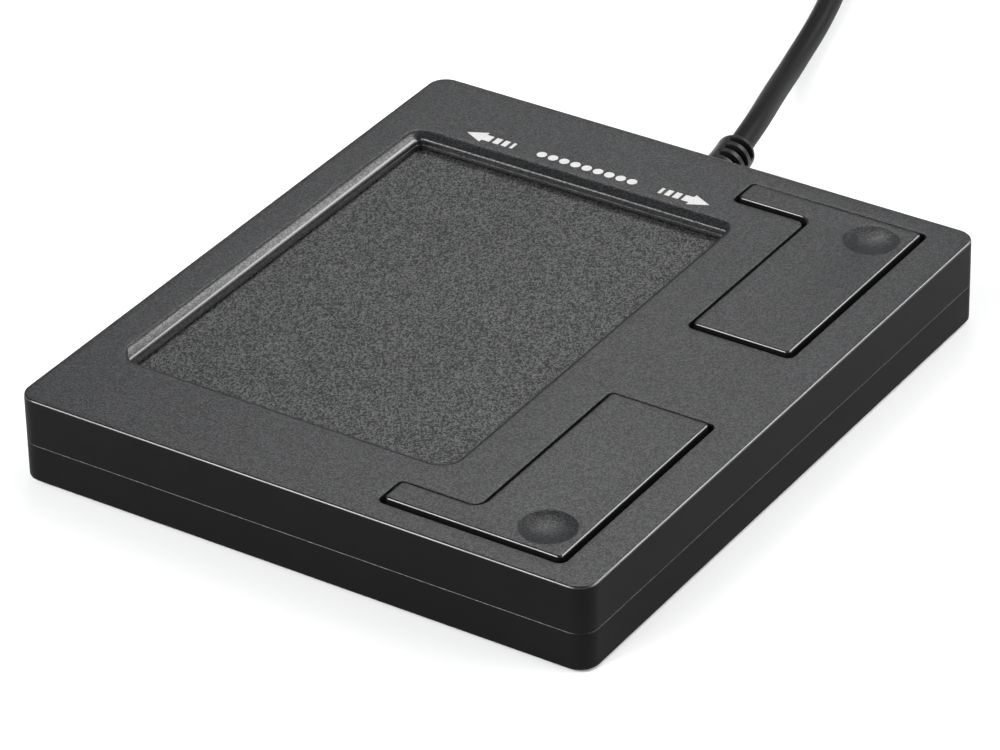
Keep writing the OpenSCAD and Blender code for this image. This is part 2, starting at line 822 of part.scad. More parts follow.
// Chip with a row of legs on each of its four sides
module usb_controller() {
    at = [board_screw_x - chip_in, hinge_y];
    color(chip_black) {
        chip(at, usb_chip_w, usb_chip_h, board_z1, 1);
        for (turn = [0:90:270], i = [0:chip_legs - 1])
            translate([at.x, at.y, board_z1]) rotate([0, 0, turn])
                translate([(i - (chip_legs - 1) / 2) * chip_leg_step - chip_leg_w / 2,
                    usb_chip_w / 2 - sink, 0])
                    cube([chip_leg_w, chip_leg_out + sink, chip_leg_t]);
    }
}

module crystal() {
    x = -board_screw_x - chip_in;
    y = hinge_y - crystal_y;
    color(steel)
    prism(board_z1, board_z1 + crystal_h)
        rounded_area(x - crystal_l / 2, x + crystal_l / 2, y - crystal_w / 2, y + crystal_w / 2,
            crystal_w / 2 - sink);
}

module board_capacitors() {
    y1 = board_screw_y[1] - board_head_r - big_cap_gap;
    color(ceramic)
    for (i = [0:big_caps - 1]) {
        x1 = -board_screw_x + big_cap_step * (big_caps / 2 - i);
        slab(x1 - big_cap_l, x1, y1 - big_cap_w, y1, board_z1, board_z1 + big_cap_h);
    }
}

module cable_header() {
    half = header_w / 2;
    color(cream)
    difference() {
        slab(header_x - half, header_x + half, header_y1 - header_d, header_y1,
            board_z1, board_z1 + header_h);
        slab(header_x - half + header_wall, header_x + half - header_wall,
            header_y1 - header_d + header_wall, header_y1 + sink,
            header_z - header_h / 2 + header_wall / 2, header_z + header_h / 2 - header_wall / 2);
    }
}

module cable_plug() {
    half = header_w / 2 - header_wall - housing_gap;
    tall = (header_h - header_wall) / 2 - housing_gap;
    color("white")
    slab(header_x - half, header_x + half, header_y1 - header_d + header_wall,
        header_y1 + housing_out, header_z - tall, header_z + tall);
}

// Four wires from the housing's back to the end of the cord's jacket
module cable_wires() {
    spread = wire_spread;
    colours = ["red", "white", "green", "black"];
    for (i = [0:3]) {
        from = [header_x + (i - 1.5) * wire_pitch, header_y1 + housing_out, header_z];
        to = [inner_cord_x, cord_y + (i < 2 ? spread : -spread), seam_z + (i % 2 == 0 ? spread : -spread)];
        a = from + [0, wire_pull_out - i * wire_pull_step, 0];
        b = to - [wire_pull_in - i * wire_pull_step, 0, 0];
        line = [for (k = [0:wire_steps]) let (u = k / wire_steps, v = 1 - u)
            v * v * v * from + 3 * v * v * u * a + 3 * v * u * u * b + u * u * u * to];
        color(colours[i]) tube(line, wire_r, 6, [0, 1, 0], [1, 0, 0]);
    }
}

module inner_cord() {
    color(rubber_black)
    bar_x(inner_cord_x, inner_cord_x + inner_cord_len, cord_y, seam_z, cord_r);
}

// Right button: hollow cap, post over the switch, hinge lugs with trunnions, stop tabs
module button() {
    difference() {
        union() {
            difference() {
                prism(cap_z0, cap_z1) button_area(btn_gap, cap_r);
                prism(cap_z0 - sink, cap_roof_z) button_area(btn_gap + skirt_t, cap_in_r);
            }
            post(dimple_at, press_post_r, plunger_z1 + press_gap, cap_roof_z + sink);
            for (side = [-1, 1]) {
                y0 = hinge_y + (side > 0 ? lug_y : -lug_y - lug_w);
                slab(hinge_x - lug_r, hinge_x + lug_r, y0, y0 + lug_w, hinge_z, cap_roof_z + sink);
                bar_y(hinge_x, y0, y0 + lug_w, hinge_z, lug_r);
                bar_y(hinge_x, side > 0 ? y0 + lug_w - sink : y0 - pin_len,
                    side > 0 ? y0 + lug_w + pin_len : y0 + sink, hinge_z, pin_r);
            }
            for (y = [dimple_at.y, arm_y1 - stop_in])
                slab(btn_x1 - btn_gap - skirt_t, btn_x1 + stop_out, y - stop_w / 2, y + stop_w / 2,
                    cap_z0, plate_z - stop_gap);
        }
        translate([dimple_at.x, dimple_at.y, cap_z1 - dimple_deep + dimple_ball])
            sphere(dimple_ball, $fn = 96);
    }
}

module left_button() {
    color(case_black) left_side() button();
}

module right_button() {
    color(case_black) button();
}

module switch_body() {
    half = switch_w / 2;
    difference() {
        slab(dimple_at.x - half, dimple_at.x + half, dimple_at.y - half, dimple_at.y + half,
            board_z1, switch_z1);
        post(dimple_at, cavity_r, cavity_z0, switch_z1 + sink);
    }
}

module left_switch_body() {
    color(chip_black) left_side() switch_body();
}

module right_switch_body() {
    color(chip_black) switch_body();
}

module switch_cover() {
    half = switch_w / 2;
    difference() {
        slab(dimple_at.x - half, dimple_at.x + half, dimple_at.y - half, dimple_at.y + half,
            switch_z1, switch_z1 + switch_cover_t);
        post(dimple_at, plunger_r + screw_hole_gap, switch_z1 - sink, switch_z1 + switch_cover_t + sink);
    }
}

module left_switch_cover() {
    color(steel) left_side() switch_cover();
}

module right_switch_cover() {
    color(steel) switch_cover();
}

// Snap dome: a shallow spherical shell on the floor of the switch's cavity
module switch_dome() {
    intersection() {
        translate([dimple_at.x, dimple_at.y, cavity_z0 + dome_h - dome_ball]) difference() {
            sphere(dome_ball);
            sphere(dome_ball - dome_t);
        }
        post(dimple_at, dome_r + sink, cavity_z0, cavity_z0 + dome_h + sink);
    }
}

module left_switch_dome() {
    color(gold) left_side() switch_dome();
}

module right_switch_dome() {
    color(gold) switch_dome();
}

module plunger() {
    post(dimple_at, flange_r, flange_z0, flange_z1);
    post(dimple_at, plunger_r, flange_z1 - sink, plunger_z1);
}

module left_plunger() {
    color(cream) left_side() plunger();
}

module right_plunger() {
    color(cream) plunger();
}

module switch_terminals() {
    half = switch_w / 2;
    color(tin)
    both_sides() for (dx = [-leg_dx, leg_dx], side = [-1, 1]) {
        x = dimple_at.x + dx - leg_w / 2;
        y = dimple_at.y + (side > 0 ? half : -half - leg_foot);
        rise_y = dimple_at.y + (side > 0 ? half : -half - leg_t);
        slab(x, x + leg_w, y, y + leg_foot, board_z1, board_z1 + leg_t);
        slab(x, x + leg_w, rise_y, rise_y + leg_t, board_z1, board_z1 + leg_rise);
    }
}

// Strain relief: flange and neck held between the covers, then a slotted bent sleeve
module strain_relief() {
    flange_x0 = inner_x - neck_gap - flange_len;
    per_mm = 180 / (PI * relief_bend_r);
    color(rubber_black)
    difference() {
        union() {
            bar_x(flange_x0, flange_x0 + flange_len, cord_y, seam_z, flange_out_r);
            bar_x(flange_x0 + flange_len - sink, half_w + neck_gap + sink, cord_y, seam_z, neck_r);
            bar_x(half_w + neck_gap, half_w + relief_straight, cord_y, seam_z, relief_r);
            translate(relief_mid) rotate([0, 0, -90]) rotate_extrude(angle = relief_bend)
                translate([relief_bend_r, 0]) circle(relief_r);
        }
        for (i = [0:relief_slots - 1], side = [-1, 1]) {
            back = relief_band + relief_slot / 2 + i * (relief_band + relief_slot);
            half = relief_r - relief_bridge;
            translate(relief_mid) rotate([0, 0, relief_bend - back * per_mm - 90])
                translate([relief_bend_r, 0, 0]) rotate([0, relief_turn, 0])
                slab(-half, half, -relief_slot / 2, relief_slot / 2,
                    side > 0 ? relief_core : -relief_r - sink, side > 0 ? relief_r + sink : -relief_core);
        }
    }
}

module cord_lead() {
    color(rubber_black) tube(lead_points, cord_r, 8, relief_dir, coil_way(0));
}

module cord_coil() {
    color(rubber_black)
    tube(coil_points, cord_r, coil_sides, coil_way(0), coil_way(coil_turns));
}

module cord_tail() {
    color(rubber_black) tube(tail_points, cord_r, 8, coil_way(coil_turns), [-1, 0, 0]);
}

// Strap round the coil's bundle of turns, flat under it on the desk
module cord_tie() {
    inner_r = coil_out - coil_pitch * layer_turns;
    x0 = sqrt(pow(inner_r, 2) - pow(tie_w / 2, 2)) - cord_r - tie_gap;
    x1 = coil_out + cord_r + tie_gap;
    z1 = coil_lift + cord_d + (coil_layers - 1) * coil_pitch + tie_gap;
    color(rubber_black)
    translate([coil_at.x, coil_at.y, 0]) rotate([90, 0, tie_at])
        linear_extrude(tie_w, center = true) difference() {
            rounded_area(x0 - tie_t, x1 + tie_t, 0, z1 + tie_t, tie_r);
            rounded_area(x0, x1, tie_t, z1, tie_r - tie_t);
        }
}

// Bar along -X from the plug's back, with round edges
module plug_bar(x0, x1, w, h, r) {
    translate([plug_at.x - x0, plug_at.y, plug_h / 2]) rotate([0, -90, 0])
        linear_extrude(x1 - x0) rounded_area(-h / 2, h / 2, -w / 2, w / 2, r);
}

module plug_grip() {
    color(rubber_black)
    difference() {
        union() {
            plug_bar(0, plug_len, plug_w, plug_h, plug_r);
            translate([plug_at.x - sink, plug_at.y, plug_h / 2]) rotate([0, 90, 0])
                cylinder(h = plug_neck + sink, r1 = cord_r + neck_back, r2 = cord_r + neck_front);
        }
        plug_bar(plug_len - shell_in, plug_len + sink, shell_w + 2 * shell_fit,
            shell_h + 2 * shell_fit, shell_r + shell_fit);
    }
}

module plug_shell() {
    x0 = plug_len - shell_in;
    x1 = plug_len + shell_out;
    window_x = plug_at.x - x1 + shell_window_in;
    color(steel)
    difference() {
        plug_bar(x0, x1, shell_w, shell_h, shell_r);
        plug_bar(x0 - sink, x1 + sink, shell_w - 2 * shell_t, shell_h - 2 * shell_t, shell_r - shell_t);
        for (side = [-1, 1])
            slab(window_x, window_x + shell_window.x,
                plug_at.y + side * shell_window_y - shell_window.y / 2,
                plug_at.y + side * shell_window_y + shell_window.y / 2,
                plug_h / 2, plug_h / 2 + shell_h);
    }
}

// Insulator: a block at the back of the shell, and a tongue along its lower half
module plug_insulator() {
    color("white")
    difference() {
        plug_bar(plug_len - shell_in, plug_len + shell_out - tongue_in, insulator_w, insulator_h,
            shell_r - shell_t);
        slab(tongue_x - tongue_len - sink, tongue_x, plug_at.y - shell_w / 2, plug_at.y + shell_w / 2,
            tongue_z, plug_h / 2 + shell_h / 2);
    }
}

module plug_contacts() {
    color(gold)
    for (y = contact_y)
        slab(tongue_x - contact_len, tongue_x, plug_at.y + y - contact_w / 2,
            plug_at.y + y + contact_w / 2, tongue_z, tongue_z + contact_t);
}

top_cover();
bottom_cover();
case_screws();
rubber_feet();
touch_overlay();
sensor_board();
tape_frame();
foam_pads();
touch_controller();
sensor_capacitors();
sensor_socket();
flat_cable();
main_board();
board_screws();
usb_controller();
crystal();
board_capacitors();
board_socket();
cable_header();
cable_plug();
cable_wires();
inner_cord();
left_button();
right_button();
left_switch_body();
right_switch_body();
left_switch_cover();
right_switch_cover();
left_switch_dome();
right_switch_dome();
left_plunger();
right_plunger();
switch_terminals();
strain_relief();
cord_lead();
cord_coil();
cord_tail();
cord_tie();
plug_grip();
plug_shell();
plug_insulator();
plug_contacts();
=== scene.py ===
import bmesh
import bpy
import numpy as np
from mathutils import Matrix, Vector
from mathutils.geometry import tessellate_polygon


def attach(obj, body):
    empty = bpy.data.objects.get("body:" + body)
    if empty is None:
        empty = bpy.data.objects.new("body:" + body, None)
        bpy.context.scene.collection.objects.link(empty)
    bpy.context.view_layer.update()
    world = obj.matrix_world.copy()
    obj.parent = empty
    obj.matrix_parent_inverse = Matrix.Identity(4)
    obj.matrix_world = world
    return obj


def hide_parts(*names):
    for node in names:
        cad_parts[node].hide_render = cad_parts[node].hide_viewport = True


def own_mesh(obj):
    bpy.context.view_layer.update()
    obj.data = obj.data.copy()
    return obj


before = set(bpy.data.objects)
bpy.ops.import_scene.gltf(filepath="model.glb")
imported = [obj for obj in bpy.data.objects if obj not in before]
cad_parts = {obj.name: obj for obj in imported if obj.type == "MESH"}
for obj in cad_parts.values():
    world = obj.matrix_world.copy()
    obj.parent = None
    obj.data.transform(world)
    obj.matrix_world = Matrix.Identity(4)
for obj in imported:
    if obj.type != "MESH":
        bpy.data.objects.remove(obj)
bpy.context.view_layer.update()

# Camera
# It looks over the case's near left corner, 32 degrees down, through a long lens.
# Its place and turn were solved from the straight edges of the case in the picture.
MM = 0.001
scene = bpy.context.scene
camera = bpy.data.objects.new("camera", bpy.data.cameras.new("camera"))
camera.data.sensor_width = 36
camera.data.lens = 192.44
camera.location = np.array((-433.543, -285.22, 327.542)) * MM
camera.rotation_euler = np.radians((57.9524, 1.0584, -57.2147))
scene.collection.objects.link(camera)
scene.camera = camera
scene.view_settings.view_transform = "Standard"

# Cord
# A round 3 mm signal cord, PVC extruded over its wires, 1.8 m long. It lies down from the strain
# relief to the desk; the length that isn't in use is wound in four layers and tied.
# Sizes here and below are in mm; the cord's length is in m.
cord_radius, cord_length = 1.5, 1.81
relief_exit, relief_bend = np.array((54.309, 1.869, 5.1)), np.radians(14)
relief_way = np.array((np.cos(relief_bend), np.sin(relief_bend), 0))
in_relief = 4.0
coil_middle = np.array((157.0, 11.0))
coil_turns, coil_layers, coil_points = 15.3, 4, 368
coil_outside, coil_pitch, coil_low = 24.2, 3.6, 2.15
coil_start_angle, turn_back = 108, 0.25


def smooth_step(v):
    """3v^2 - 2v^3, held at 0 below 0 and at 1 above 1."""
    v = np.clip(v, 0, 1)
    return v**2 * (3 - 2 * v)


def coil_line(turns):
    """Middle line of the coil after each number of turns.
    The radius falls by one pitch a turn and grows again in the next layer, rounded off where it
    turns back. The height climbs one pitch on a smooth step at each turning back."""
    layer = coil_turns / coil_layers
    back = np.clip(np.round(turns / layer), 1, coil_layers - 1)
    past = np.abs(turns - back * layer)
    past = np.where(past < turn_back, (past**2 + turn_back**2) / (2 * turn_back), past)
    radius = coil_outside - coil_pitch * np.where(back % 2 == 1, layer - past, past)
    angle = np.radians(coil_start_angle - 360 * turns)
    climb = turns[:, None] - layer * np.arange(1, coil_layers) + turn_back
    height = coil_low + coil_pitch * smooth_step(climb / (2 * turn_back)).sum(1)
    return np.stack([coil_middle[0] + radius * np.cos(angle),
                     coil_middle[1] + radius * np.sin(angle), height], 1)


lead_line = np.array((
    (58, 2.7, 5), (62, 3.7, 4.7), (66, 4.9, 4.2), (70, 6.2, 3.6), (75, 7.8, 2.8), (80, 9.3, 2.1),
    (85, 10.7, 1.7), (90, 12, 1.5), (95, 13.3, 1.5), (100, 14.8, 1.5), (105, 16.5, 1.5),
    (110, 18.3, 1.5), (115, 20.4, 1.5), (120, 22.5, 1.5), (125, 24.6, 1.5), (130, 26.7, 1.5),
    (135, 28.8, 1.6), (139, 30.4, 1.8), (143, 31.8, 2), (146.67, 33.09, 2.15)))
tail_line = np.array((
    (181.2, 8, 12.95), (181.2, 3, 11.8), (181.2, -2, 9.7), (180.6, -7.5, 7), (178.8, -13, 5),
    (175.4, -18.3, 3.9), (171, -22.2, 3.6), (167.2, -23.9, 3.9), (164, -24, 4)))
route = np.concatenate([
    [relief_exit - in_relief * relief_way, relief_exit], lead_line,
    coil_line(np.linspace(0, coil_turns, coil_points)), tail_line]) * MM
# A Bezier handle lies along the line between a point's neighbours, a third of the way to each.
steps = np.linalg.norm(np.diff(route, axis=0), axis=1)[:, None]
ways = np.gradient(route, axis=0)
ways /= np.linalg.norm(ways, axis=1)[:, None]
to_last = np.concatenate([steps[:1], steps])
to_next = np.concatenate([steps, steps[-1:]])
cord_curve = bpy.data.curves.new("cord", "CURVE")
cord_curve.dimensions = "3D"
cord_curve.bevel_depth = cord_radius * MM
cord_curve.bevel_resolution = 6
cord_curve.resolution_u = 4
cord_curve.use_fill_caps = True
spline = cord_curve.splines.new("BEZIER")
spline.bezier_points.add(len(route) - 1)
spline.bezier_points.foreach_set("co", route.ravel())
spline.bezier_points.foreach_set("handle_left", (route - ways * to_last / 3).ravel())
spline.bezier_points.foreach_set("handle_right", (route + ways * to_next / 3).ravel())
cord = bpy.data.objects.new("cord", cord_curve)
scene.collection.objects.link(cord)


def linear(code):
    """Linear colour of an sRGB hex code: v / 12.92 near black, else the 2.4th power of
    (v + 0.055) / 1.055."""
    v = np.array([int(code[i:i + 2], 16) for i in (1, 3, 5)]) / 255
    return (*np.where(v <= 0.04045, v / 12.92, ((v + 0.055) / 1.055) ** 2.4), 1)


def join(tree, node, inputs):
    """Sets a node's inputs: one given as (node, output) is linked, any other put on its socket."""
    for socket, value in inputs.items():
        if isinstance(value, tuple) and isinstance(value[0], bpy.types.Node):
            tree.links.new(value[0].outputs[value[1]], node.inputs[socket])
        else:
            node.inputs[socket].default_value = value


def add(tree, kind, inputs, **settings):
    """Adds a node with its settings and inputs."""
    node = tree.nodes.new(kind)
    for name, value in settings.items():
        setattr(node, name, value)
    join(tree, node, inputs)
    return node


def material(name, inputs):
    """A material of one Principled shader with these values on its own sockets."""
    made = bpy.data.materials.new(name)
    made.use_nodes = True
    shader = made.node_tree.nodes["Principled BSDF"]
    join(made.node_tree, shader, inputs)
    return made, made.node_tree, shader


def speckled(name, dark, light, grain, roughness, metallic=0.0, height=0.02, strength=0.4, detail=4,
             crumble=0.5, more=()):
    """A finish whose colour runs between two shades and whose surface rises with the same noise.
    The grain is the noise's size in mm, and the height what it rises by, also in mm."""
    values = {"Roughness": roughness, "Metallic": metallic, **dict(more)}
    made, tree, shader = material(name, values)
    place = add(tree, "ShaderNodeTexCoord", {})
    noise = add(tree, "ShaderNodeTexNoise", {"Vector": (place, "Object"), "Scale": 1 / (grain * MM),
                                             "Detail": detail, "Roughness": crumble})
    tint = add(tree, "ShaderNodeMix", {0: (noise, "Fac"), 6: linear(dark), 7: linear(light)},
               data_type="RGBA")
    relief = add(tree, "ShaderNodeBump", {"Height": (noise, "Fac"), "Strength": strength,
                                          "Distance": height * MM})
    join(tree, shader, {"Base Color": (tint, 2), "Normal": (relief, "Normal")})
    return made


# Extruded soft PVC: black, with a satin skin and the faint ripple that the die leaves.
cord_pvc = speckled("extruded_soft_PVC", "#060607", "#0b0b0c", grain=0.9, roughness=0.5,
                    height=0.05, strength=0.25, detail=3, crumble=0.6,
                    more={"IOR": 1.53, "Specular IOR Level": 0.1})
cord_curve.materials.append(cord_pvc)
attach(cord, "base")
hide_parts("cord_lead", "cord_coil", "cord_tail")

# Bottom cover
# The lower half of the case, moulded in black ABS with satin walls. It is a tray with a boss for
# each screw, and its outer edge is eased at the seam, where it catches a thin line of light.
half_width, half_depth, corner_radius = 43.0, 37.5, 2.4
case_wall = 1.6
base_z, floor_z, seam_z = 0.4, 2.0, 5.1
seam_ease, base_round, base_border = 0.13, 0.15, 1.2
screw_spots = ((-37.5, -5.0), (37.5, -5.0), (0.0, -28.0), (-38.0, 32.5), (38.0, 32.5))
foot_spots = ((-32.0, -26.5), (32.0, -26.5), (-32.0, 26.5), (32.0, 26.5))
boss_radius, screw_well_radius, screw_well_z = 3.0, 2.2, 2.4
foot_well_radius, foot_well_z = 3.6, 1.2
well_ease, well_rim = 0.15, 0.3


def rectangle(x0, x1, y0, y1, radii):
    """The four corners of a rounded rectangle, as arc_loop takes them."""
    r = np.broadcast_to(radii, 4)
    return np.array(((x0 + r[0], y0 + r[0], r[0], 180, 1), (x1 - r[1], y0 + r[1], r[1], 270, 1),
                     (x1 - r[2], y1 - r[2], r[2], 0, 1), (x0 + r[3], y1 - r[3], r[3], 90, 1)))


def arc_loop(corners, inset, z, steps=9):
    """One closed ring round an outline that is drawn in by an inset, at height z.
    A corner is (centre x, centre y, radius, first angle, way). Its points are the centre plus
    (radius - way * inset) times (cos, sin) over a quarter turn in that way. Where the inset is
    more than the radius, the arc keeps a least radius and its centre moves in along the corner's
    diagonal."""
    least = 0.05
    x, y, radius, first, way = np.asarray(corners, float).T[:, :, None]
    angle = np.radians(first + way * np.linspace(0, 90, steps + 1))
    middle = np.radians(first + way * 45)
    reach = np.maximum(radius - way * inset, least)
    over = np.sqrt(2) * (reach - radius + way * inset)
    ring = np.stack([x - over * np.cos(middle) + reach * np.cos(angle),
                     y - over * np.sin(middle) + reach * np.sin(angle)], -1).reshape(-1, 2)
    return np.column_stack([ring, np.full(len(ring), z)])


def circle(middle, radius, z, count=64):
    """A ring: the middle plus radius times (cos, sin) of a full turn, at height z."""
    angle = np.linspace(0, 2 * np.pi, count, endpoint=False)
    return np.stack([middle[0] + radius * np.cos(angle), middle[1] + radius * np.sin(angle),
                     np.full(count, z)], 1)


def rounded(points, radii, steps=5):
    """A line of points with its inner corners rounded off by parabolas.
    At a corner c with neighbours a and b, the curve is (1-t)^2 p + 2t(1-t) c + t^2 q, where p and q
    lie the corner's radius from c towards a and b. A point may be a whole ring of points."""
    points = np.asarray(points, float)
    parts = [points[:1]]
    t = np.linspace(0, 1, steps + 1).reshape((-1,) + (1,) * (points.ndim - 1))
    for before, corner, after, radius in zip(points, points[1:], points[2:], radii):
        p, q = [corner + radius * away / np.linalg.norm(away, axis=-1, keepdims=True)
                for away in (before - corner, after - corner)]
        bend = (1 - t)**2 * p + 2 * t * (1 - t) * corner + t**2 * q
        parts.append(bend if radius else corner[None])
    return np.concatenate(parts + [points[-1:]])


def skin(rings):
    """A surface through closed rings of the same count: quads from each ring to the next one."""
    rings = np.asarray(rings)
    at = np.arange(rings.shape[0] * rings.shape[1]).reshape(rings.shape[:2])
    beside = np.roll(at, -1, axis=1)
    quads = np.stack([at[:-1], beside[:-1], beside[1:], at[1:]], -1).reshape(-1, 4)
    return rings.reshape(-1, 3), quads


def lid(*rings):
    """A flat face inside the first ring, with the other rings as holes, cut into triangles."""
    triangles = tessellate_polygon([ring.tolist() for ring in rings])
    return np.concatenate(rings), np.array(triangles)


def piece(name, patches, sharp=40):
    """One closed mesh from patches (points in mm, faces) that share their border points.
    The borders are merged and the faces turned outwards; edges sharper than an angle stay sharp."""
    merged = 0.0005 * MM
    starts = np.cumsum([0] + [len(points) for points, _ in patches])
    points = np.concatenate([points for points, _ in patches]) * MM
    faces = [face for (_, grid), start in zip(patches, starts) for face in (grid + start).tolist()]
    mesh = bpy.data.meshes.new(name)
    mesh.from_pydata(points.tolist(), [], faces)
    shell = bmesh.new()
    shell.from_mesh(mesh)
    bmesh.ops.remove_doubles(shell, verts=shell.verts, dist=merged)
    bmesh.ops.dissolve_degenerate(shell, edges=shell.edges, dist=merged)
    bmesh.ops.recalc_face_normals(shell, faces=shell.faces)
    shell.to_mesh(mesh)
    shell.free()
    mesh.shade_smooth()
    mesh.set_sharp_from_angle(angle=np.radians(sharp))
    made = bpy.data.objects.new(name, mesh)
    scene.collection.objects.link(made)
    return made


case_outline = rectangle(-half_width, half_width, -half_depth, half_depth, corner_radius)
tray = rounded(((case_wall, floor_z), (case_wall, seam_z), (0, seam_z), (0, base_z),
                (base_border, base_z)), (0, seam_ease, base_round))
tray_rings = [arc_loop(case_outline, inset, z) for inset, z in tray]
bosses = [[circle(spot, boss_radius, z) for z in (floor_z, seam_z)] for spot in screw_spots]
screw_wells, foot_wells = [
    [[circle(spot, r, z) for r, z in rounded(
        ((radius + well_rim, base_z), (radius, base_z), (radius, well_z)), (well_ease,))]
     for spot in spots]
    for spots, radius, well_z in ((screw_spots, screw_well_radius, screw_well_z),
                                  (foot_spots, foot_well_radius, foot_well_z))]
hollows = bosses + screw_wells + foot_wells
case_bottom = piece("case_bottom", [
    skin(tray_rings), lid(tray_rings[0], *[rings[0] for rings in bosses]),
    lid(tray_rings[-1], *[rings[0] for rings in screw_wells + foot_wells]),
    *[skin(rings) for rings in hollows], *[lid(rings[-1]) for rings in hollows]])

# Moulded ABS, satin: nearly black, with a mould finish too fine to see and a soft, weak gloss.
satin_cloud = 5 * MM
satin_grain = 0.25 * MM
satin_abs, tree, shader = material("satin_moulded_ABS", {
    "Roughness": 0.5, "IOR": 1.53, "Specular IOR Level": 0.045})
place = add(tree, "ShaderNodeTexCoord", {})
cloud = add(tree, "ShaderNodeTexNoise", {"Vector": (place, "Object"), "Scale": 1 / satin_cloud,
                                         "Detail": 2})
grain = add(tree, "ShaderNodeTexNoise", {"Vector": (place, "Object"), "Scale": 1 / satin_grain,
                                         "Detail": 1})
tint = add(tree, "ShaderNodeMix", {0: (cloud, "Fac"), 6: linear("#0d0d0e"), 7: linear("#111112")},
           data_type="RGBA")
relief = add(tree, "ShaderNodeBump", {"Height": (grain, "Fac"), "Strength": 0.15,
                                      "Distance": 0.02 * MM})
join(tree, shader, {"Base Color": (tint, 2), "Normal": (relief, "Normal")})
case_bottom.data.materials.append(satin_abs)
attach(case_bottom, "base")
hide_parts("bottom_cover")

# Feet
# Four round pads of matt black rubber, die-cut with a soft edge and glued in wells in the base.
foot_radius, foot_top_z, foot_ease = 3.5, 1.2, 0.15
foot_profile = rounded(((0, 0), (foot_radius, 0), (foot_radius, foot_top_z), (0, foot_top_z)),
                       (foot_ease, 0))
feet = piece("feet", [skin([circle(spot, r, z) for r, z in foot_profile]) for spot in foot_spots])

# Nitrile rubber: dull black, with a dusty bloom and a fine cut grain.
foot_rubber = speckled("nitrile_rubber", "#131313", "#2e2d2c", grain=1.5, roughness=0.85,
                       height=0.05, detail=6, crumble=0.7, more={"IOR": 1.52})
feet.data.materials.append(foot_rubber)
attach(feet, "base")
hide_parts("rubber_feet")

# Screws, boards and switches
# What the case holds: screws, two circuit boards with their chips, connectors and cables, and a
# tactile switch under each key. They are the solids of the frame, each with its own finish.

# Zinc-plated steel is bluish and a little cloudy; tinned sheet steel is brighter and smoother.
zinc_steel = speckled("zinc_plated_steel", "#8f949a", "#c3c7cc", grain=0.4, roughness=0.32,
                      metallic=1.0, height=0.01)
tinned_steel = speckled("tinned_sheet_steel", "#b4b6ba", "#d4d5d8", grain=1.2, roughness=0.24,
                        metallic=1.0, height=0.005)
# Glass-fibre laminate shows its weave faintly through green lacquer.
green_laminate = speckled("lacquered_glass_laminate", "#0f4527", "#1b6138", grain=0.5,
                          roughness=0.35)
# Moulded epoxy, fired ceramic and nylon are dull, with a fine even grain.
black_epoxy = speckled("moulded_epoxy", "#161617", "#232325", grain=0.15, roughness=0.6)
tan_ceramic = speckled("fired_ceramic", "#8f7a5c", "#b49a76", grain=0.2, roughness=0.5)
cream_nylon = speckled("moulded_nylon", "#d3cbb5", "#e6e0cd", grain=0.6, roughness=0.45)
white_polyester = speckled("white_polyester_ribbon", "#d2d4d6", "#eceded", grain=0.8, roughness=0.4)
acrylic_tape = speckled("acrylic_foam_tape", "#26262a", "#3a3a3f", grain=0.2, roughness=0.7)
grey_foam = speckled("open_cell_foam", "#2f3033", "#57585c", grain=0.35, roughness=0.95,
                     height=0.12)
gold_plate = speckled("gold_plated_brass", "#b98d3a", "#dcb45c", grain=0.3, roughness=0.28,
                      metallic=1.0, height=0.005)
wire_pvc = speckled("coloured_wire_PVC", "#1f1f21", "#343437", grain=0.4, roughness=0.45)
inside = {
    zinc_steel: ("case_screws", "board_screws"),
    tinned_steel: ("crystal", "left_switch_cover", "right_switch_cover", "left_switch_dome",
                   "right_switch_dome", "switch_terminals", "plug_shell"),
    green_laminate: ("sensor_board", "main_board"),
    black_epoxy: ("touch_controller", "usb_controller", "left_switch_body", "right_switch_body",
                  "left_plunger", "right_plunger"),
    tan_ceramic: ("sensor_capacitors", "board_capacitors"),
    cream_nylon: ("sensor_socket", "board_socket", "cable_header", "cable_plug", "plug_insulator"),
    white_polyester: ("flat_cable",),
    acrylic_tape: ("tape_frame",),
    grey_foam: ("foam_pads",),
    gold_plate: ("plug_contacts",),
    wire_pvc: ("cable_wires", "inner_cord"),
}
for made, nodes in inside.items():
    for node in nodes:
        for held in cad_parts[node].material_slots:
            held.material = made
# Each snap dome stands on the floor of its switch; in the switch it gives way under its plunger,
# to half its height at a full press. Here each dome is only given a mesh of its own.
for side in ("left", "right"):
    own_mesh(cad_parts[f"{side}_switch_dome"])

# Touch surface
# A sheet of grained polycarbonate film over the sensor board, held by tape under the window's
# edge. The finger slides on its pebbled face, which is coarser than the case's own grain.


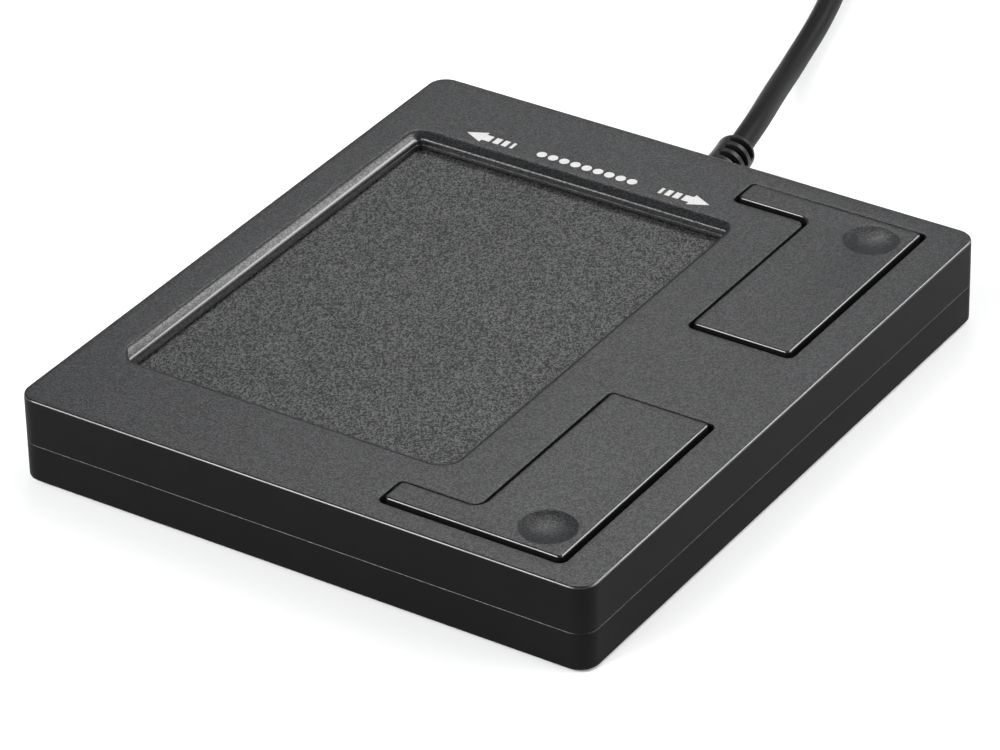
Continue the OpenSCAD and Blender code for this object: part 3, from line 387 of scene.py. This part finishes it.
def celled(name, cell, cloud, values, shades, glints, spread, detail, strength, raised):
    """A grain of cells, each with its own gloss and a painted shade, under a faint cloud of tone.
    A cell's random share, stretched from 0.3 to 0.9, runs between the two levels of gloss and
    between the two shades, so that a glossier cell is painted lighter: painted glints. The cloud
    scales the shade by 1 minus to 1 plus the spread. The surface falls towards the middle of each
    cell, or rises if it is raised. The cell and the cloud are sizes in mm."""
    made, tree, shader = material(name, values)
    place = add(tree, "ShaderNodeTexCoord", {})
    cells = add(tree, "ShaderNodeTexVoronoi", {"Vector": (place, "Object"),
                                               "Scale": 1 / (cell * MM), "Randomness": 1.0})
    share = add(tree, "ShaderNodeSeparateColor", {"Color": (cells, "Color")})
    lit = add(tree, "ShaderNodeMapRange", {"Value": (share, "Red"), "From Min": 0.3,
                                           "From Max": 0.9, "To Min": 0.0, "To Max": 1.0})
    glint = add(tree, "ShaderNodeMapRange", {"Value": (lit, "Result"), "To Min": glints[0],
                                             "To Max": glints[1]})
    clouds = add(tree, "ShaderNodeTexNoise", {"Vector": (place, "Object"),
                                              "Scale": 1 / (cloud * MM), "Detail": detail})
    # Painted glints: the share that raises a cell's gloss also paints its shade lighter.
    tint = add(tree, "ShaderNodeMix", {0: (lit, "Result"), 6: linear(shades[0]),
                                       7: linear(shades[1])}, data_type="RGBA")
    shade = add(tree, "ShaderNodeMapRange", {"Value": (clouds, "Fac"), "From Min": 0.3,
                                             "From Max": 0.7, "To Min": 1 - spread,
                                             "To Max": 1 + spread})
    tone = add(tree, "ShaderNodeVectorMath", {0: (tint, 2), "Scale": (shade, "Result")},
               operation="SCALE")
    relief = add(tree, "ShaderNodeBump", {"Height": (cells, "Distance"), "Strength": strength,
                                          "Distance": 0.05 * MM}, invert=raised)
    join(tree, shader, {"Base Color": (tone, "Vector"), "Specular IOR Level": (glint, "Result"),
                        "Normal": (relief, "Normal")})
    return made


# Embossed film: dark grey, like fine sand. Each pebble turns its own share of the light to the eye,
# and that share is painted into its shade as a painted glint, as well as set in its gloss. The
# pebbles are drawn a little coarser than real ones, so that a pixel can show one.
pad_film = celled("embossed_polycarbonate_film", cell=0.17, cloud=9,
                  values={"Roughness": 0.36, "IOR": 1.58}, shades=("#131313", "#353636"),
                  glints=(0.12, 0.62), spread=0.08, detail=2, strength=0.3, raised=True)
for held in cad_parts["touch_overlay"].material_slots:
    held.material = pad_film

# Top cover
# The upper half of the case, moulded in the same ABS. Its face has a spark-eroded grain, a window
# for the touch surface, sloped on the far and right sides, and an L-shaped opening for each key.
top_z, plate_z = 11.0, 9.4
top_round, skirt_ease, opening_round = 0.32, 0.05, 0.1
face_border, window_border, opening_border = 1.0, 0.9, 0.7
near_corner, hole_corner = 2.4, 0.8
window_left, window_near = -30.7, -12.2
window_slope = rectangle(window_left, 30.7, window_near, 32.7, (near_corner, 1.9, 2.0, near_corner))
hole_corners = (near_corner, hole_corner, hole_corner, hole_corner)
window_hole, window_waist, window_ledge, window_foot = [
    rectangle(window_left, right, window_near, far, hole_corners)
    for right, far in ((29.3, 31.55), (29.3, 31.424), (29.22, 31.405), (29.22, 31.3))]
window_lip = rectangle(-30.28, 29.3, -11.84, 31.3, hole_corners)
slope_z, far_slope_z, ledge_z, ledge_drop = 10.5, 10.36, 9.8, 0.02
far_from, far_run = 30.75, 0.8
# The sloped and the plain edge need the same count of rings, so where the plain one has no
# rounding its radius is next to nothing.
slope_rounds, plain_rounds = (0.4, 0.3, 0.02, 0.05), (0.65, 0.0001, 0.0001, 0.0001)
plain_left, plain_left_run, plain_near, plain_near_run = -28.3, 2.0, -10.3, 2.8


def key_outline(x0, x1, y0, y1, arm_x, arm_y, radius, fillet):
    """The corners of the right-hand key: a bar with an arm at its outer end, as arc_loop takes
    them. The inner corner's arc runs the other way, round a centre outside the outline."""
    return np.array((
        (x0 + radius, y0 + radius, radius, 180, 1), (x1 - radius, y0 + radius, radius, 270, 1),
        (x1 - radius, arm_y - radius, radius, 0, 1),
        (arm_x + radius, arm_y - radius, radius, 90, 1),
        (arm_x - fillet, y1 + fillet, fillet, 0, -1), (x0 + radius, y1 - radius, radius, 90, 1)))


skirt = rounded(((case_wall, plate_z), (case_wall, seam_z), (0, seam_z), (0, top_z),
                 (face_border, top_z)), (0, skirt_ease, top_round))
skirt_rings = [arc_loop(case_outline, inset, z) for inset, z in skirt]
slope_foot = arc_loop(window_hole, 0, slope_z)
slope_foot[:, 2] += (far_slope_z - slope_z) * smooth_step((slope_foot[:, 1] - far_from) / far_run)
sloped = rounded(np.stack([
    arc_loop(window_slope, -window_border, top_z), arc_loop(window_slope, 0, top_z), slope_foot,
    arc_loop(window_waist, 0, ledge_z), arc_loop(window_ledge, 0, ledge_z - ledge_drop),
    arc_loop(window_foot, 0, plate_z)]), slope_rounds)
plain = rounded(np.stack([
    arc_loop(window_lip, -window_border, top_z), *[arc_loop(window_lip, 0, z) for z in (
        top_z, slope_z, ledge_z, ledge_z - ledge_drop, plate_z)]]), plain_rounds)
# The near and left edges are plainly rounded, and turn smoothly into the sloped ones.
near = smooth_step(np.maximum((plain_left - sloped[0, :, 0]) / plain_left_run,
                              (plain_near - sloped[0, :, 1]) / plain_near_run))[:, None]
window_rings = near * plain + (1 - near) * sloped
opening = key_outline(x0=8.0, x1=39.9, y0=-32.6, y1=-18.8, arm_x=35.0, arm_y=-8.8, radius=1.0,
                      fillet=1.0)
right_opening = np.stack([arc_loop(opening, inset, z) for inset, z in rounded(
    ((-opening_border, top_z), (0, top_z), (0, plate_z)), (opening_round,))])
mirrored = np.array((-1, 1, 1))
left_opening = right_opening * mirrored
holes = (window_rings, left_opening, right_opening)
case_top = piece("case_top", [
    skin(skirt_rings), lid(skirt_rings[-1], *[rings[0] for rings in holes]),
    lid(skirt_rings[0], *[rings[-1] for rings in holes]), *[skin(rings) for rings in holes]])

# Grained ABS: dark grey, where the spark-eroded mould left fine pits, each with its own gloss, so
# that the face sparkles faintly where it mirrors a lamp; a glossier pit is also painted a lighter
# shade, a painted glint. Drawn a little coarser, too.
grained_abs = celled("spark_grained_ABS", cell=0.16, cloud=7,
                     values={"Roughness": 0.33, "IOR": 1.53}, shades=("#131314", "#202122"),
                     glints=(0.26, 0.52), spread=0.07, detail=3, strength=0.25, raised=False)

# Polished ABS: the rounded edges, where the mould is smooth and hands have rubbed them bright.
edge_wear = 3 * MM
polished_abs, tree, shader = material("edge_polished_ABS", {
    "IOR": 1.55, "Specular IOR Level": 0.68})
place = add(tree, "ShaderNodeTexCoord", {})
wear = add(tree, "ShaderNodeTexNoise", {"Vector": (place, "Object"), "Scale": 1 / edge_wear,
                                        "Detail": 4})
gloss = add(tree, "ShaderNodeMapRange", {"Value": (wear, "Fac"), "From Min": 0.3, "From Max": 0.7,
                                         "To Min": 0.2, "To Max": 0.32})
tint = add(tree, "ShaderNodeMix", {0: (wear, "Fac"), 6: linear("#0d0d0e"), 7: linear("#161617")},
           data_type="RGBA")
join(tree, shader, {"Roughness": (gloss, "Result"), "Base Color": (tint, 2)})


def face_values(mesh, what):
    """The normal or the center of each face of a mesh, a row for each face."""
    values = np.empty(len(mesh.polygons) * 3)
    mesh.polygons.foreach_get(what, values)
    return values.reshape(-1, 3)


def dress(made, flat):
    """Gives each face its finish by the height part of its normal: the grained one on faces that
    look up at least as much as flat, the polished one on rounded edges, the satin one elsewhere."""
    edge = 0.3
    for finish in (grained_abs, polished_abs, satin_abs):
        made.data.materials.append(finish)
    up = face_values(made.data, "normal")[:, 2]
    made.data.polygons.foreach_set("material_index", np.select([up > flat, up > edge], [0, 1], 2))


# Inside its rim the top cover is grained all over, but for the polished edge low on the far slope.
case_flat, rim, above_plate = 0.985, 1.0, plate_z + 0.01
polish_y, polish_z = 31.0, far_slope_z + 0.12
dress(case_top, case_flat)
x, y, z = face_values(case_top.data, "center").T / MM
finishes = np.empty(len(z), int)
case_top.data.polygons.foreach_get("material_index", finishes)
inside_rim = (np.abs(x) < half_width - rim) & (np.abs(y) < half_depth - rim) & (z > above_plate)
finishes[inside_rim & ~((z < polish_z) & (finishes == 1) & (y > polish_y))] = 0
case_top.data.polygons.foreach_set("material_index", finishes)
# The bottom cover's eased edge at the seam has the face's finish, and shows as a thin pale line.
ease_from, ease_to = 0.2, 0.97
case_bottom.data.materials.append(grained_abs)
up = face_values(case_bottom.data, "normal")[:, 2]
z = face_values(case_bottom.data, "center")[:, 2] / MM
at_seam = (z > seam_z - seam_ease) & (up > ease_from) & (up < ease_to)
case_bottom.data.polygons.foreach_set("material_index", at_seam.astype(int))
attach(case_top, "base")
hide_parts("top_cover")

# Keys
# Two L-shaped caps of grained ABS, hollow below, that rock on pins at their inner ends. A round
# dimple at the outer corner tells the finger where to press.
cap_outline = key_outline(x0=8.6, x1=39.3, y0=-32.0, y1=-19.4, arm_x=35.6, arm_y=-9.4, radius=0.6,
                          fillet=1.6)
cap_wall, cap_low_z, cap_roof_z, cap_top_z = 1.1, 8.38, 9.98, 11.38
cap_round, cap_low_round, cap_border, cap_flat = 0.3, 0.15, 0.55, 0.92
dimple_spot, dimple_radius, dimple_depth = (35.0, -27.7), 3.3, 0.45
dimple_rim, dimple_ease, dimple_rings_count, dimple_points = 3.5, 0.035, 27, 72
cap_rings = np.stack([arc_loop(cap_outline, inset, z) for inset, z in rounded(
    ((cap_wall, cap_roof_z), (cap_wall, cap_low_z), (0, cap_low_z), (0, cap_top_z),
     (cap_border, cap_top_z)), (0, cap_low_round, cap_round))])


def bowl(r):
    """Depth of the dimple at distance r from its middle: a ball's cap d of the dimple's radius and
    depth, turned smoothly into the flat face by half of (d + the root of d squared plus the ease
    squared)."""
    ball = (dimple_radius**2 + dimple_depth**2) / (2 * dimple_depth)
    d = np.sqrt(ball**2 - r**2) - (ball - dimple_depth)
    return (d + np.sqrt(d**2 + dimple_ease**2)) / 2


dimple_rings = np.stack([
    circle(dimple_spot, r, cap_top_z - bowl(r) + bowl(dimple_rim), dimple_points)
    for r in np.linspace(dimple_rim, 0, dimple_rings_count)])
for side, way in (("left", mirrored), ("right", 1)):
    key = piece(side + "_key", [skin(cap_rings * way), skin(dimple_rings * way),
                                lid(cap_rings[0] * way),
                                lid(cap_rings[-1] * way, dimple_rings[0] * way)])
    dress(key, cap_flat)
    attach(key, side + "_button")
    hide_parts(side + "_button")

# Scroll marks
# Pad-printed in off-white ink on the case to the right of the window: an arrow with three bars at
# each end and a row of nine dots between, for the edge where a finger scrolls.
marks_x, marks_y = 32.75, 9.8
ink_low_z, ink_top_z = top_z - 0.01, top_z + 0.015
shaft, barb = 0.65, 1.2
dot_radius, dot_row, dot_count, dot_points = 0.625, 6.32, 9, 28
arrow = np.array(((0, 16.95), (-barb, 14.5), (-shaft, 14.5), (-shaft, 13.45), (shaft, 13.45),
                  (shaft, 14.5), (barb, 14.5)))
bar_ends = ((13.0, 12.2), (11.8, 11.1), (10.6, 10.2))
bars = [np.array(((-shaft, y0), (-shaft, y1), (shaft, y1), (shaft, y0))) for y0, y1 in bar_ends]
ends = [shape * (1, way) for shape in [arrow] + bars for way in (1, -1)]
dots = [circle((0, y), dot_radius, 0, dot_points)[:, :2]
        for y in np.linspace(-dot_row, dot_row, dot_count)]
marks = []
for shape in ends + dots:
    low, top = [np.column_stack([shape + (marks_x, marks_y), np.full(len(shape), z)])
                for z in (ink_low_z, ink_top_z)]
    marks += [skin([low, top]), lid(low), lid(top)]
scroll_marks = piece("scroll_marks", marks, sharp=20)

# Printing ink: warm off-white, dull, and a little thin over the grain's high points.
ink_grain = 0.18 * MM
mark_ink, tree, shader = material("pad_printing_ink", {"Roughness": 0.6, "IOR": 1.5})
place = add(tree, "ShaderNodeTexCoord", {})
thin = add(tree, "ShaderNodeTexNoise", {"Vector": (place, "Object"), "Scale": 1 / ink_grain,
                                        "Detail": 2})
spread = add(tree, "ShaderNodeMapRange", {"Value": (thin, "Fac"), "From Min": 0.3, "From Max": 0.6})
tint = add(tree, "ShaderNodeMix", {0: (spread, "Result"), 6: linear("#a8a8a6"),
                                   7: linear("#bcbcba")}, data_type="RGBA")
relief = add(tree, "ShaderNodeBump", {"Height": (thin, "Fac"), "Strength": 0.3,
                                      "Distance": 0.02 * MM})
join(tree, shader, {"Base Color": (tint, 2), "Normal": (relief, "Normal")})
scroll_marks.data.materials.append(mark_ink)
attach(scroll_marks, "base")

# Strain relief
# A sleeve of soft PVC moulded onto the cord and held by its flange inside the wall. Slots across
# two opposite sides, turned a little towards the keys, leave bands that let it bend.
sleeve_radius, sleeve_start_x, sleeve_y = 2.45, 42.9, 0.8
sleeve_straight, sleeve_bend_radius, sleeve_ease = 2.7, 36.0, 0.5
slot_width, slot_backs, slot_floor, slot_ease = 0.9, (1.35, 3.15, 4.95), 1.2, 0.16
slot_half_span, span_ease, slot_turn, least_sine = 1.85, 0.2, np.radians(38), 0.01
sleeve_length = sleeve_straight + sleeve_bend_radius * relief_bend
slotted_length, end_gap = 6.0, 0.001


def sleeve(along, around):
    """The sleeve's surface over distance along its middle line and angle around it.
    The line runs straight, then on an arc. The radius is the sleeve's, less the slots: in a slot
    the surface drops to a flat floor, floor / |sin|, on smooth steps at the slot's walls and at its
    two ends; the sleeve's far end is rounded by a circle down to the cord."""
    turned = np.maximum(along - sleeve_straight, 0) / sleeve_bend_radius
    middle = np.stack([
        sleeve_start_x + np.minimum(along, sleeve_straight) + sleeve_bend_radius * np.sin(turned),
        sleeve_y + sleeve_bend_radius * (1 - np.cos(turned)), np.full_like(along, seam_z)], -1)
    across = np.stack([-np.sin(turned), np.cos(turned), np.zeros_like(along)], -1)
    to_end = sleeve_length - along
    from_slot = np.abs(to_end[..., None] - np.array(slot_backs)) - slot_width / 2
    cut = smooth_step(0.5 - from_slot / slot_ease).max(-1)
    from_side = around - slot_turn
    sine = np.maximum(np.abs(np.sin(from_side)), least_sine)
    depth = np.maximum(sleeve_radius - slot_floor / sine, 0)
    span = np.abs(sleeve_radius * np.cos(from_side))
    depth = depth * smooth_step(0.5 + (slot_half_span - span) / span_ease)
    past = np.maximum(sleeve_ease - to_end, 0)
    end_round = sleeve_ease - np.sqrt(np.maximum(sleeve_ease**2 - past**2, 0))
    radius = (sleeve_radius - cut * depth - end_round)[..., None]
    upward = np.array((0, 0, 1.0))
    way = np.cos(around)[..., None] * across + np.sin(around)[..., None] * upward
    return middle + radius * way


around = np.linspace(0, 2 * np.pi, 96, endpoint=False)
slotted_from, rounded_from = sleeve_length - slotted_length, sleeve_length - sleeve_ease
along = np.concatenate([
    np.linspace(0, slotted_from, 24, endpoint=False),
    np.linspace(slotted_from, rounded_from, 110, endpoint=False),
    sleeve_length - sleeve_ease * np.cos(np.linspace(0, np.pi / 2, 9))[:-1],
    [sleeve_length - end_gap]])
sleeve_rings = sleeve(*np.meshgrid(along, around, indexing="ij"))
closed = [np.broadcast_to(ring.mean(0), ring.shape) for ring in sleeve_rings[[0, -1]]]
relief_sleeve = piece("relief_sleeve", [
    skin(np.concatenate([closed[:1], sleeve_rings, closed[1:]]))], sharp=50)

# Moulded soft PVC: black and satin, with the slightly dimpled skin of a mould.
relief_pvc = speckled("moulded_soft_PVC", "#080809", "#0f0f10", grain=0.35, roughness=0.42,
                      height=0.03, strength=0.3, detail=3,
                      more={"IOR": 1.53, "Specular IOR Level": 0.2})
relief_sleeve.data.materials.append(relief_pvc)
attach(relief_sleeve, "base")
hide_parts("strain_relief")

# Cord tie
# A strap of black hook-and-loop tape, 5 mm wide, wrapped round the bundle of turns.
tie_angle = np.radians(205)
tie_half_width, tie_thickness, tie_corner, tie_ease = 2.5, 0.45, 2.0, 0.12
tie_inner, tie_outer, tie_top = 8.11, 26.35, 15.1
tie_line = rectangle(tie_inner, tie_outer, 0, tie_top, tie_corner)
tie_section = rounded(((0, 0), (0, tie_half_width), (tie_thickness, tie_half_width),
                       (tie_thickness, -tie_half_width), (0, -tie_half_width), (0, 0)),
                      4 * (tie_ease,), steps=3)
strap = np.stack([arc_loop(tie_line, inset, across) for inset, across in tie_section])
outward = np.array((np.cos(tie_angle), np.sin(tie_angle)))
strap_xy = coil_middle + strap[..., :1] * outward + strap[..., 2:] * outward[::-1] * (-1, 1)
tie_strap = piece("tie_strap", [skin(np.concatenate([strap_xy, strap[..., 1:2]], -1))])

# Hook-and-loop tape: black nylon pile, dull, with loops about 0.3 mm apart.
loop_pitch = 0.3 * MM
tie_nylon, tree, shader = material("nylon_loop_tape", {"Roughness": 0.8, "Sheen Weight": 0.3})
place = add(tree, "ShaderNodeTexCoord", {})
loops = add(tree, "ShaderNodeTexVoronoi", {"Vector": (place, "Object"), "Scale": 1 / loop_pitch})
tint = add(tree, "ShaderNodeMix", {0: (loops, "Distance"), 6: linear("#121213"),
                                   7: linear("#353537")}, data_type="RGBA")
relief = add(tree, "ShaderNodeBump", {"Height": (loops, "Distance"), "Strength": 0.8,
                                      "Distance": 0.15 * MM})
join(tree, shader, {"Base Color": (tint, 2), "Normal": (relief, "Normal")})
tie_strap.data.materials.append(tie_nylon)
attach(tie_strap, "base")
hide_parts("cord_tie")

# Plug
# A flat bus plug: a sheet-steel shell with four gilt contacts on a nylon tongue, held in a grip of
# soft PVC that is moulded over it, ribbed for the fingers and drawn out to a neck round the cord.
plug_y, plug_z = -24.0, 4.0
grip_front, grip_back, neck_end = 132.0, 156.0, 164.0
grip_half_width, grip_half_height, grip_corner = 8.0, 4.0, 2.0
rib_pitch, rib_depth, rib_from, rib_to = 2.2, 0.32, 136.5, 151.5
neck_back_radius, neck_end_radius, neck_hole, neck_ease, grip_ease = 2.8, 1.9, 0.1, 0.3, 0.8
grip_x = np.concatenate([grip_front + grip_ease * (1 - np.cos(np.linspace(0, np.pi / 2, 7))),
                         np.linspace(grip_front + grip_ease, grip_back - grip_ease, 150)[1:-1],
                         grip_back - grip_ease * (1 - np.sin(np.linspace(0, np.pi / 2, 7)))])


def grip_rings(x):
    """The grip's rings along X: a rounded rectangle whose half sizes shrink on a quarter circle at
    both ends, and by half of (1 - cos) of the rib pitch where the fingers hold it."""
    to_end = np.minimum(x - grip_front, grip_back - x)
    end = grip_ease - np.sqrt(np.maximum(grip_ease**2 - np.maximum(grip_ease - to_end, 0)**2, 0))
    hold = smooth_step((x - rib_from) / rib_pitch) * smooth_step((rib_to - x) / rib_pitch)
    rib = rib_depth * hold * (1 - np.cos(2 * np.pi * (x - rib_from) / rib_pitch)) / 2
    inset = end + rib
    outline = rectangle(-grip_half_width, grip_half_width, -grip_half_height, grip_half_height,
                        grip_corner)
    return np.stack([arc_loop(outline, d, at) for d, at in zip(inset, x)])


neck_outline = rectangle(-neck_back_radius, neck_back_radius, -neck_back_radius, neck_back_radius,
                         neck_back_radius)
neck_profile = rounded(((0, grip_back), (neck_back_radius - neck_end_radius, neck_end),
                        (neck_back_radius - neck_hole, neck_end)), (neck_ease,))
grip = np.concatenate([grip_rings(grip_x),
                       np.stack([arc_loop(neck_outline, inset, x) for inset, x in neck_profile])])
grip = np.stack([grip[..., 2], plug_y + grip[..., 0], plug_z + grip[..., 1]], -1)
plug_overmould = piece("plug_overmould", [skin(grip), lid(grip[-1]), lid(grip[0])])
plug_overmould.data.materials.append(relief_pvc)
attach(plug_overmould, "base")
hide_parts("plug_grip")

# Floor and light
# A plain white table top under a pale sky, and five soft boxes. The right and back left ones draw
# bright lines along the edges, a small panel is mirrored in the face, two low ones light the sides.
floor_mesh = bpy.data.meshes.new("floor")
floor_half = 4.0
floor_mesh.from_pydata([(-floor_half, -floor_half, 0), (floor_half, -floor_half, 0),
                        (floor_half, floor_half, 0), (-floor_half, floor_half, 0)],
                       [], [(0, 1, 2, 3)])
floor = bpy.data.objects.new("floor", floor_mesh)
scene.collection.objects.link(floor)

# Matt white laminate: bright, with hardly any gloss and a faint unevenness of tone.
floor_cloud = 300 * MM
floor_white, tree, shader = material("matt_white_laminate", {"Roughness": 0.9,
                                                              "Specular IOR Level": 0.1})
place = add(tree, "ShaderNodeTexCoord", {})
cloud = add(tree, "ShaderNodeTexNoise", {"Vector": (place, "Object"), "Scale": 1 / floor_cloud})
tint = add(tree, "ShaderNodeMix", {0: (cloud, "Fac"), 6: linear("#f7f7f7"), 7: linear("#fafafa")},
           data_type="RGBA")
join(tree, shader, {"Base Color": (tint, 2)})
floor_mesh.materials.append(floor_white)

# The sky is brightest low down, and dims overhead.
world = bpy.data.worlds.new("studio")
world.use_nodes = True
tree = world.node_tree
place = add(tree, "ShaderNodeTexCoord", {})
part = add(tree, "ShaderNodeSeparateXYZ", {"Vector": (place, "Generated")})
high = add(tree, "ShaderNodeMapRange", {"Value": (part, "Z"), "From Min": 0.5, "From Max": 0.85,
                                        "To Min": 0.3, "To Max": 0.12},
           interpolation_type="SMOOTHSTEP")
join(tree, tree.nodes["Background"], {"Strength": (high, "Result"), "Color": linear("#eef1f6")})
scene.world = world


def softbox(name, way, distance, size, radiance):
    """A square lamp that faces the case from a direction; its power is radiance x pi x area."""
    lamp = bpy.data.lights.new(name, "AREA")
    lamp.size = size
    lamp.energy = radiance * np.pi * size**2
    made = bpy.data.objects.new(name, lamp)
    made.location = Vector(way).normalized() * distance
    made.rotation_euler = Vector(way).to_track_quat("Z", "Y").to_euler()
    scene.collection.objects.link(made)


softbox("right_softbox", (0.707, -0.338, 0.62), distance=2.0, size=1.15, radiance=8.6)
softbox("back_left_softbox", (-0.66, 0.467, 0.59), distance=2.0, size=1.0, radiance=10.5)
softbox("back_panel", (0.634, 0.39, 0.667), distance=2.0, size=0.4, radiance=7.9)
softbox("left_softbox", (-0.82, 0.33, 0.47), distance=2.0, size=1.3, radiance=6.0)
softbox("near_softbox", (0.38, -0.8, 0.47), distance=2.0, size=1.3, radiance=5.0)
